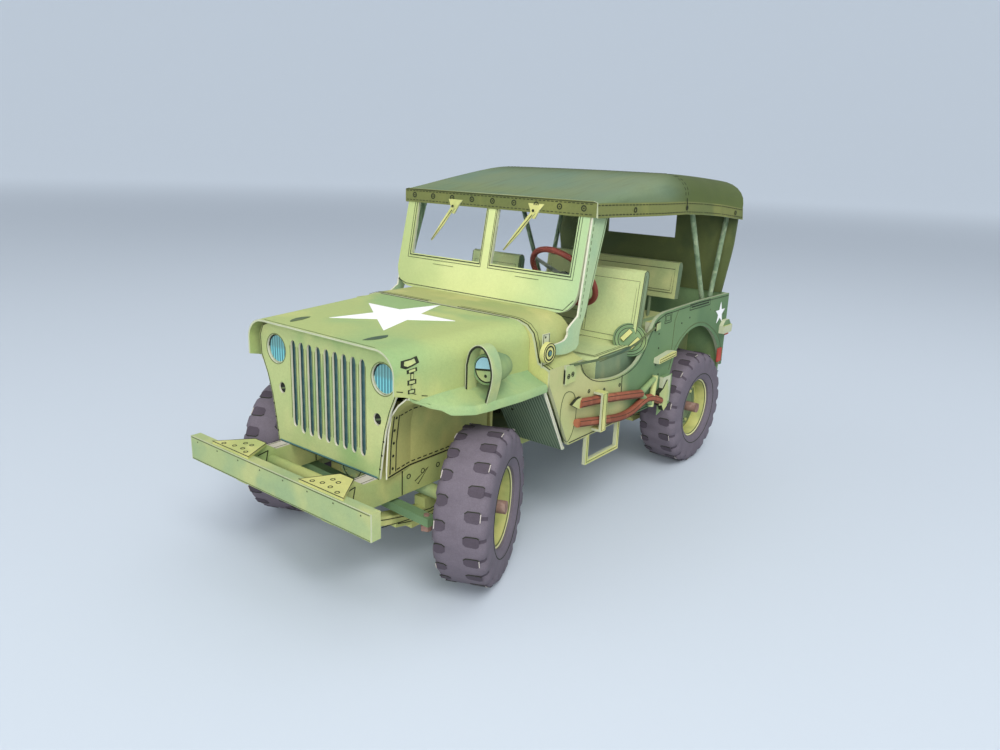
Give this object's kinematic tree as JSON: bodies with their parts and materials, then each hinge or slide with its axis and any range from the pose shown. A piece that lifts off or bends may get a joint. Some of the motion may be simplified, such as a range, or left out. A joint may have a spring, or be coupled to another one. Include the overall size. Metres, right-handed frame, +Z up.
{
  "type": "military 4x4 car card model",
  "caption": "Card model of an open army 4x4 car with canvas top up, wheels turned to the left, rolling wheels and linked steering.",
  "frame": {"origin": "middle of the bounding box on the ground under the tyres", "axes": "+Z up; the car's front points to -Y and its left side to +X"},
  "size_m": [0.0668, 0.1334, 0.0716],
  "materials": {
    "olive_card": "matte printed card, yellow-green",
    "dark_card": "matte printed card, dark olive",
    "chassis_card": "matte printed card, frame olive",
    "engine_card": "matte printed card, near black",
    "tyre_card": "matte printed card, purple brown",
    "rim_card": "matte printed card, yellow",
    "canvas_card": "matte printed card, canvas olive",
    "seat_card": "matte printed card, pale green",
    "lamp_card": "matte printed card, teal",
    "red_card": "matte printed card, brick red",
    "wood_card": "matte printed card, wood brown",
    "clear_film": "clear film"
  },
  "bodies": {
    "car": {"chassis_frame": "chassis_card", "front_bumper": "chassis_card", "bumper_gussets": "chassis_card", "rear_bumperettes": "chassis_card", "tow_hook": "engine_card", "leaf_springs": "chassis_card", "front_axle": "chassis_card", "rear_axle": "chassis_card", "engine_and_gearbox": "engine_card", "skid_plate": "chassis_card", "drive_shafts": "chassis_card", "exhaust": "engine_card", "grille_panel": "olive_card", "radiator": "dark_card", "headlamps": "lamp_card", "marker_lamps": "engine_card", "bonnet": "olive_card", "inner_wings": "olive_card", "wings": "olive_card", "wing_skirts": "dark_card", "scuttle": "olive_card", "dashboard": "olive_card", "body_sides": "olive_card", "floor_pan": "olive_card", "rear_panel": "olive_card", "wheel_boxes": "olive_card", "windscreen_frame": "olive_card", "windscreen_panes": "clear_film", "wipers": "olive_card", "canvas_top": "canvas_card", "top_bows": "dark_card", "front_seats": "seat_card", "rear_bench": "seat_card", "steering_column": "dark_card", "control_levers": "engine_card", "door_straps": "dark_card", "blackout_lamp": "olive_card", "side_tools": "wood_card", "side_fittings": "olive_card", "tail_lamps": "red_card", "spare_wheel": "tyre_card", "fuel_can": "dark_card"},
    "steered_end_left": {"knuckle_left": "chassis_card"},
    "steered_end_right": {"knuckle_right": "chassis_card"},
    "track_rod": {"tie_rod": "chassis_card"},
    "hand_wheel": {"steering_wheel": "wood_card"},
    "wheel_front_left": {"tyre_front_left": "tyre_card", "rim_front_left": "rim_card"},
    "wheel_front_right": {"tyre_front_right": "tyre_card", "rim_front_right": "rim_card"},
    "wheel_rear_left": {"tyre_rear_left": "tyre_card", "rim_rear_left": "rim_card"},
    "wheel_rear_right": {"tyre_rear_right": "tyre_card", "rim_rear_right": "rim_card"}
  },
  "joints": [
    {"name": "steer_left", "type": "hinge", "parent": "car", "child": "steered_end_left", "pos_m": [0.02, -0.04155, 0.014], "axis": [0, 0, 1], "range_deg": [-48, 2]},
    {"name": "steer_right", "type": "hinge", "parent": "car", "child": "steered_end_right", "pos_m": [-0.02, -0.04155, 0.014], "axis": [0, 0, 1], "range_deg": [-48, 2]},
    {"name": "track_rod_pivot", "type": "hinge", "parent": "steered_end_left", "child": "track_rod", "pos_m": [0.0212, -0.05103, 0.014], "axis": [0, 0, 1], "range_deg": [-3, 56]},
    {"name": "steering_wheel_turn", "type": "hinge", "parent": "car", "child": "hand_wheel", "pos_m": [0.014, -0.00315, 0.0494], "axis": [0.0961, 0.7639, 0.6381], "continuous": true},
    {"name": "spin_front_left", "type": "hinge", "parent": "steered_end_left", "child": "wheel_front_left", "pos_m": [0.02405, -0.03983, 0.014], "axis": [0.9205, 0.3907, 0], "continuous": true},
    {"name": "spin_front_right", "type": "hinge", "parent": "steered_end_right", "child": "wheel_front_right", "pos_m": [-0.02405, -0.04327, 0.014], "axis": [0.9205, 0.3907, 0], "continuous": true},
    {"name": "spin_rear_left", "type": "hinge", "parent": "car", "child": "wheel_rear_left", "pos_m": [0.0238, 0.04075, 0.014], "axis": [1, 0, 0], "continuous": true},
    {"name": "spin_rear_right", "type": "hinge", "parent": "car", "child": "wheel_rear_right", "pos_m": [-0.0238, 0.04075, 0.014], "axis": [1, 0, 0], "continuous": true}
  ],
  "couplings": [
    {"joint": "steer_right", "follows": "steer_left", "ratio": 1},
    {"joint": "track_rod_pivot", "follows": "steer_left", "ratio": -1.143}
  ]
}
